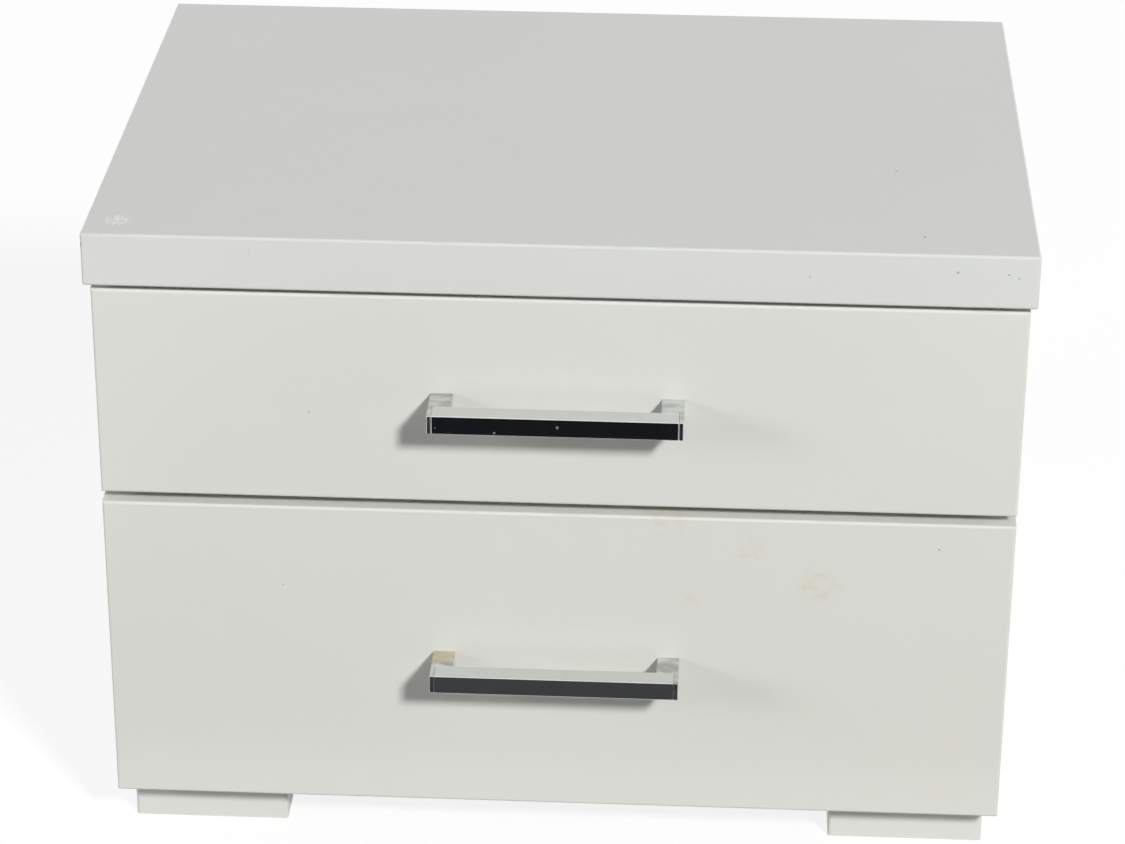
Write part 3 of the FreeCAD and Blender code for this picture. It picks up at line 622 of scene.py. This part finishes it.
class SideTableSizes(bpy.types.PropertyGroup):
    """Sizes that a user would change"""

    # Sprayed lacquer has waves 1 to 3 mm apart
    orange_peel: length_of("Orange peel", "Spacing of the lacquer's waves", 2.8 * MM)
    orange_peel_depth: length_of(
        "Peel depth", "Height of the lacquer's waves", 0.012 * MM
    )
    # Both are too fine to show at their real spacing: the foil's pebble is 0.3 mm and
    # the chrome's wiping marks are a few hundredths of a millimetre apart
    foil_pebble: length_of("Foil pebble", "Spacing of the foil's texture", 0.7 * MM)
    hairline: length_of("Hairlines", "Spacing of the wiping marks on chrome", 0.6 * MM)
    key_size: length_of("Key lamp", "Width of the key lamp", 1.05)
    fill_size: length_of("Fill lamps", "Width of the lamps at the left and behind", 1.6)
    lens: bpy.props.FloatProperty(
        name="Lens",
        description="Focal length of the camera",
        default=117.59,
        subtype="DISTANCE_CAMERA",
        unit="CAMERA",
    )


class SIDE_TABLE_OT_top(bpy.types.Operator):
    """Lacquer the top and mark its knocks and scuff"""

    bl_idname = "side_table.top"
    bl_label = "Top"

    def execute(self, context):
        colours = context.scene.side_table_colours
        # The top's colour carries painted shade and a painted bluish sky reflection
        finish = satin_lacquer(
            "top_lacquer_painted_shade",
            colours.top,
            "top_panel",
            TOP_SPECKS,
            [TOP_SCUFF],
            [],
        )
        dress(["top_panel"], finish)
        return {"FINISHED"}


class SIDE_TABLE_OT_fronts(bpy.types.Operator):
    """Lacquer the drawer fronts and mark their knocks and stains"""

    bl_idname = "side_table.fronts"
    bl_label = "Drawer fronts"

    def execute(self, context):
        colours = context.scene.side_table_colours
        for drawer in DRAWERS:
            node = f"{drawer}_drawer_front"
            finish = satin_lacquer(
                f"{drawer}_front_satin_lacquer",
                colours.fronts,
                node,
                FRONT_SPECKS[drawer],
                [],
                FRONT_STAINS[drawer],
            )
            dress([node], finish)
        return {"FINISHED"}


class SIDE_TABLE_OT_case(bpy.types.Operator):
    """Foil the sides, the bottom and the feet, and paint the back"""

    bl_idname = "side_table.case"
    bl_label = "Case and feet"

    def execute(self, context):
        colours = context.scene.side_table_colours
        pebble = context.scene.side_table_sizes.foil_pebble
        case = foil_board("case_melamine_foil", colours.case, pebble, 0.03 * MM, 0.42)
        feet = foil_board("foot_paper_foil", colours.feet, pebble, 0.02 * MM, 0.36)
        dress(["side_panel_left", "side_panel_right", "bottom_panel"], case)
        dress([f"foot_{row}_{side}" for row in ROWS for side in SIDES], feet)
        bottoms = [f"{drawer}_drawer_bottom" for drawer in DRAWERS]
        dress(["back_panel"] + bottoms, painted_hardboard(colours.hardboard))
        return {"FINISHED"}


class SIDE_TABLE_OT_boxes(bpy.types.Operator):
    """Foil the drawer boxes"""

    bl_idname = "side_table.boxes"
    bl_label = "Drawer boxes"

    def execute(self, context):
        colours = context.scene.side_table_colours
        pebble = context.scene.side_table_sizes.foil_pebble
        finish = foil_board("drawer_paper_foil", colours.boxes, pebble, 0.02 * MM, 0.45)
        parts = ("side_left", "side_right", "back")
        dress([f"{d}_drawer_{part}" for d in DRAWERS for part in parts], finish)
        return {"FINISHED"}


class SIDE_TABLE_OT_handles(bpy.types.Operator):
    """Plate the handles"""

    bl_idname = "side_table.handles"
    bl_label = "Handles"

    def execute(self, context):
        colours = context.scene.side_table_colours
        for drawer in DRAWERS:
            bar = polished_chrome(
                f"{drawer}_bar_chrome", colours.chrome, BAR_SPECKS[drawer], 0.03, []
            )
            ends = polished_chrome(
                f"{drawer}_end_chrome", colours.chrome, [], 0.2, LEG_PAINTED_REFLECTIONS[drawer]
            )
            dress([f"{drawer}_handle_bar"], bar)
            dress([f"{drawer}_handle_end_{side}" for side in SIDES], ends)
        return {"FINISHED"}


class SIDE_TABLE_OT_runners(bpy.types.Operator):
    """Enamel the runners and finish their rollers"""

    bl_idname = "side_table.runners"
    bl_label = "Runners and rollers"

    def execute(self, context):
        colours = context.scene.side_table_colours
        rails = [
            f"{drawer}_{kind}_runner_{side}"
            for drawer in DRAWERS
            for kind in ("cabinet", "drawer")
            for side in SIDES
        ]
        rollers = [
            f"{drawer}_{row}_roller_{side}"
            for drawer in DRAWERS
            for row in ROWS
            for side in SIDES
        ]
        dress(rails, epoxy_enamel(colours.enamel))
        dress(rollers, moulded_nylon(colours.nylon))
        return {"FINISHED"}


class SIDE_TABLE_OT_fittings(bpy.types.Operator):
    """Finish the dowels, cams, bolts, screws and rivets"""

    bl_idname = "side_table.fittings"
    bl_label = "Fittings"

    def execute(self, context):
        colours = context.scene.side_table_colours
        dowels = [name for name in NODES if name.endswith("dowels")]
        cams = [name for name in NODES if name.endswith("cam_discs")]
        plated = [
            name for name in NODES if name.endswith(("screws", "cam_bolts", "rivets"))
        ]
        dress(dowels, turned_beech(colours.beech))
        dress(cams, bare_zinc("cast_zinc", colours.casting, 0.5 * MM, 0.4, 0.55))
        plate = bare_zinc("zinc_plated_steel", colours.plating, 0.4 * MM, 0.29, 0.38)
        dress(plated, plate)
        return {"FINISHED"}


def flat_piece(name, left, right, near, far, height):
    """A flat rectangle at that height."""
    corners = [
        (left, near, height),
        (right, near, height),
        (right, far, height),
        (left, far, height),
    ]
    mesh = bpy.data.meshes.new(name)
    mesh.from_pydata(corners, [], [(0, 1, 2, 3)])
    mesh.update()
    made = bpy.data.objects.new(name, mesh)
    bpy.context.scene.collection.objects.link(made)
    return made


def seen_white(tree):
    """1 for the rays that should see the background as white."""
    rays = add(tree, "LightPath").node.outputs
    share = add(
        tree,
        "Math",
        {0: rays["Is Camera Ray"], 1: rays["Is Glossy Ray"]},
        operation="MAXIMUM",
    )
    return add(
        tree, "Math", {0: share, 1: rays["Is Transmission Ray"]}, operation="MAXIMUM"
    )


def lamp(width, name, place, power, colour):
    """A square soft lamp turned to the middle of the table, which gloss doesn't see."""
    data = bpy.data.lights.new(name, "AREA")
    data.shape = "SQUARE"
    data.size = width
    data.energy = power
    data.color = linear(colour)[:3]
    made = bpy.data.objects.new(name, data)
    made.location = place
    aim = Vector(MIDDLE) - Vector(place)
    made.rotation_euler = aim.to_track_quat("-Z", "Y").to_euler()
    made.visible_glossy = False
    bpy.context.scene.collection.objects.link(made)


class SIDE_TABLE_OT_stage(bpy.types.Operator):
    """Lay the floor, set the lamps and place the camera"""

    bl_idname = "side_table.stage"
    bl_label = "Studio"

    def execute(self, context):
        scene = context.scene
        sizes, colours = scene.side_table_sizes, scene.side_table_colours
        scene.view_settings.view_transform = "Standard"

        floor = flat_piece(
            "floor", -FLOOR_REACH, FLOOR_REACH, -FLOOR_REACH, FLOOR_REACH, FLOOR_HEIGHT
        )
        material, tree, place = begin("pale_floor")
        matt = add(tree, "BsdfDiffuse", {"Color": tuple(colours.floor)})
        faint = add(tree, "BsdfDiffuse", {"Color": linear("#747474")})
        away = add(tree, "VectorMath", {0: place}, out="Value", operation="LENGTH")
        glow = add(
            tree,
            "MapRange",
            {
                "Value": away,
                "From Min": GLOW_RISES_FROM,
                "From Max": GLOW_FULL_AT,
                "To Min": NEAR_GLOW,
                "To Max": FAR_GLOW,
            },
        )
        bright = add(tree, "Emission", {"Color": (1, 1, 1, 1), "Strength": glow})
        shown = add(tree, "AddShader", {0: faint, 1: bright})
        both = add(tree, "MixShader", {0: seen_white(tree), 1: matt, 2: shown})
        add(tree, "OutputMaterial", {"Surface": both})
        floor.data.materials.append(material)

        # Only gloss and metal see the dark card, which blackens the handles' fronts
        card = flat_piece("dark_card", *CARD_EDGES, CARD_HEIGHT)
        material, tree, place = begin("dark_card_paint")
        away = add(tree, "SeparateXYZ", {0: place}).node.outputs["Y"]
        nearer = add(
            tree,
            "MapRange",
            {"Value": away, "From Min": CARD_DARK_UP_TO, "From Max": CARD_PALE_FROM},
        )
        paint = add(
            tree,
            "Mix",
            {SHARE: nearer, FIRST: linear("#1C1D20"), SECOND: linear("#4A4B4C")},
            out=MIXED,
            data_type="RGBA",
        )
        matt = add(tree, "BsdfDiffuse", {"Color": paint})
        add(tree, "OutputMaterial", {"Surface": matt})
        card.data.materials.append(material)
        card.visible_camera = False
        card.visible_diffuse = False
        card.visible_shadow = False
        card.visible_transmission = False

        world = bpy.data.worlds.new("soft_studio")
        scene.world = world
        world.use_nodes = True
        tree = world.node_tree
        tree.nodes.clear()
        soft = add(
            tree, "Background", {"Color": linear("#F0F4FA"), "Strength": WORLD_LIGHT}
        )
        white = add(tree, "Background", {"Color": (1, 1, 1, 1), "Strength": 1.0})
        both = add(tree, "MixShader", {0: seen_white(tree), 1: soft, 2: white})
        add(tree, "OutputWorld", {"Surface": both})

        lamp(sizes.key_size, *KEY_LAMP)
        for fill in FILL_LAMPS:
            lamp(sizes.fill_size, *fill)

        data = bpy.data.cameras.new("photo_camera")
        data.sensor_width = SENSOR_WIDTH
        data.lens = sizes.lens
        data.clip_start, data.clip_end = NEAREST_SEEN, FURTHEST_SEEN
        camera = bpy.data.objects.new("photo_camera", data)
        yaw, pitch, roll = CAMERA_YAW, CAMERA_PITCH, CAMERA_ROLL
        ahead = Vector(
            (
                math.sin(yaw) * math.cos(pitch),
                math.cos(yaw) * math.cos(pitch),
                -math.sin(pitch),
            )
        )
        level = Vector((math.cos(yaw), -math.sin(yaw), 0.0))
        above = level.cross(ahead)
        right = math.cos(roll) * level + math.sin(roll) * above
        up = math.cos(roll) * above - math.sin(roll) * level
        turn = Matrix((right, up, -ahead)).transposed().to_4x4()
        camera.matrix_world = Matrix.Translation(CAMERA_PLACE) @ turn
        scene.collection.objects.link(camera)
        scene.camera = camera
        return {"FINISHED"}


class SIDE_TABLE_PT_sidebar(bpy.types.Panel):
    """Lists the steps of the dressing"""

    bl_label = "Side table"
    bl_space_type = "VIEW_3D"
    bl_region_type = "UI"
    bl_category = "Side table"

    def draw(self, context):
        for step in STEPS:
            self.layout.operator(step.bl_idname)
        for group in ("side_table_sizes", "side_table_colours"):
            values = getattr(context.scene, group)
            for name in values.__annotations__:
                self.layout.prop(values, name)


STEPS = (
    SIDE_TABLE_OT_top,
    SIDE_TABLE_OT_fronts,
    SIDE_TABLE_OT_case,
    SIDE_TABLE_OT_boxes,
    SIDE_TABLE_OT_handles,
    SIDE_TABLE_OT_runners,
    SIDE_TABLE_OT_fittings,
    SIDE_TABLE_OT_stage,
)
CLASSES = (SideTableColours, SideTableSizes) + STEPS + (SIDE_TABLE_PT_sidebar,)


def register():
    """Registers the classes and their settings."""
    for made in CLASSES:
        bpy.utils.register_class(made)
    bpy.types.Scene.side_table_colours = bpy.props.PointerProperty(type=SideTableColours)
    bpy.types.Scene.side_table_sizes = bpy.props.PointerProperty(type=SideTableSizes)


def unregister():
    """Takes the classes and their settings away again."""
    del bpy.types.Scene.side_table_sizes
    del bpy.types.Scene.side_table_colours
    for made in reversed(CLASSES):
        bpy.utils.unregister_class(made)


def main():
    register()
    for step in STEPS:
        group, name = step.bl_idname.split(".")
        getattr(getattr(bpy.ops, group), name)()


if __name__ == "__main__":
    main()
